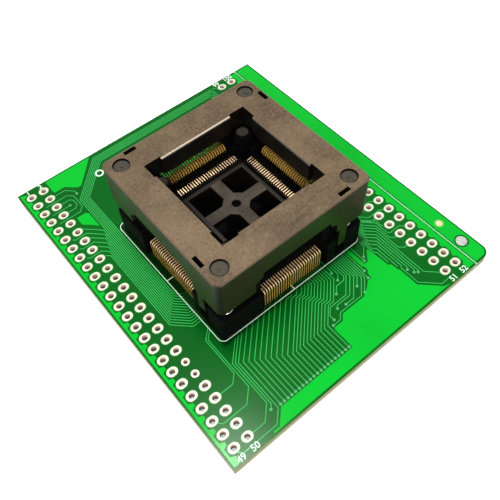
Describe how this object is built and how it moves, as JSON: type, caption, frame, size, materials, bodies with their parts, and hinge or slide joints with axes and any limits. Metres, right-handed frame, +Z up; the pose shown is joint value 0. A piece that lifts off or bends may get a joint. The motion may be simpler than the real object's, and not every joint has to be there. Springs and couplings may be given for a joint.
{
  "type": "programming socket adapter",
  "caption": "Sprung open-top test socket for a flat four-sided package, soldered on a green board with two double rows of plated header holes and a break-off rail.",
  "frame": {"origin": "middle of the board's footprint, at the height of the lowest solder tail tips", "axes": "+Y along the header rows, away from the picture's near corner; +X towards the break-off rail; +Z up out of the socket"},
  "size_m": [0.0564, 0.0656, 0.0195],
  "materials": {
    "board_laminate": "green solder mask over glass laminate",
    "tinned_copper": "hot tin levelled copper",
    "black_plastic": "black moulded plastic",
    "seat_plastic": "dark moulded plastic, fine grain",
    "cover_plastic": "brown-grey moulded plastic with a fine grain",
    "gold_plate": "gold plated copper alloy strip",
    "spring_steel": "drawn spring wire",
    "solder": "bright solder"
  },
  "bodies": {
    "adapter_board": {"circuit_board": "board_laminate", "fiducial_dot": "tinned_copper", "header_pads_left_outer": "tinned_copper", "header_pads_left_inner": "tinned_copper", "header_pads_right_inner": "tinned_copper", "header_pads_right_outer": "tinned_copper", "socket_base": "black_plastic", "tail_locator_plate": "black_plastic", "package_seat": "seat_plastic", "fixed_contacts_front": "gold_plate", "tail_pads_front": "tinned_copper", "solder_joints_front": "solder", "fixed_contacts_right": "gold_plate", "tail_pads_right": "tinned_copper", "solder_joints_right": "solder", "fixed_contacts_back": "gold_plate", "tail_pads_back": "tinned_copper", "solder_joints_back": "solder", "fixed_contacts_left": "gold_plate", "tail_pads_left": "tinned_copper", "solder_joints_left": "solder", "cover_spring_front_right": "spring_steel", "cover_spring_back_right": "spring_steel", "cover_spring_back_left": "spring_steel", "cover_spring_front_left": "spring_steel"},
    "cover": {"socket_cover": "cover_plastic"},
    "front_arms": {"contact_arms_front": "gold_plate"},
    "right_arms": {"contact_arms_right": "gold_plate"},
    "back_arms": {"contact_arms_back": "gold_plate"},
    "left_arms": {"contact_arms_left": "gold_plate"}
  },
  "joints": [
    {"name": "cover_slide", "type": "slide", "parent": "adapter_board", "child": "cover", "axis": [0, 0, 1], "range_m": [-0.0028, 0], "stiffness_N_per_m": 9000, "springref_m": 0.0001, "deforming": ["cover_spring_front_right", "cover_spring_back_right", "cover_spring_back_left", "cover_spring_front_left"]},
    {"name": "front_arms_lift", "type": "hinge", "parent": "adapter_board", "child": "front_arms", "pos_m": [-0.00176, -0.01167, 0.0074], "axis": [1, 0, 0], "range_deg": [0, 14]},
    {"name": "right_arms_lift", "type": "hinge", "parent": "adapter_board", "child": "right_arms", "pos_m": [0.00864, -0.00128, 0.0074], "axis": [0, 1, 0], "range_deg": [0, 14]},
    {"name": "back_arms_lift", "type": "hinge", "parent": "adapter_board", "child": "back_arms", "pos_m": [-0.00176, 0.00912, 0.0074], "axis": [-1, 0, 0], "range_deg": [0, 14]},
    {"name": "left_arms_lift", "type": "hinge", "parent": "adapter_board", "child": "left_arms", "pos_m": [-0.01216, -0.00128, 0.0074], "axis": [0, -1, 0], "range_deg": [0, 14]}
  ],
  "couplings": [
    {"joint": "front_arms_lift", "follows": "cover_slide", "rad_per_m": -87.25},
    {"joint": "right_arms_lift", "follows": "cover_slide", "rad_per_m": -87.25},
    {"joint": "back_arms_lift", "follows": "cover_slide", "rad_per_m": -87.25},
    {"joint": "left_arms_lift", "follows": "cover_slide", "rad_per_m": -87.25}
  ]
}
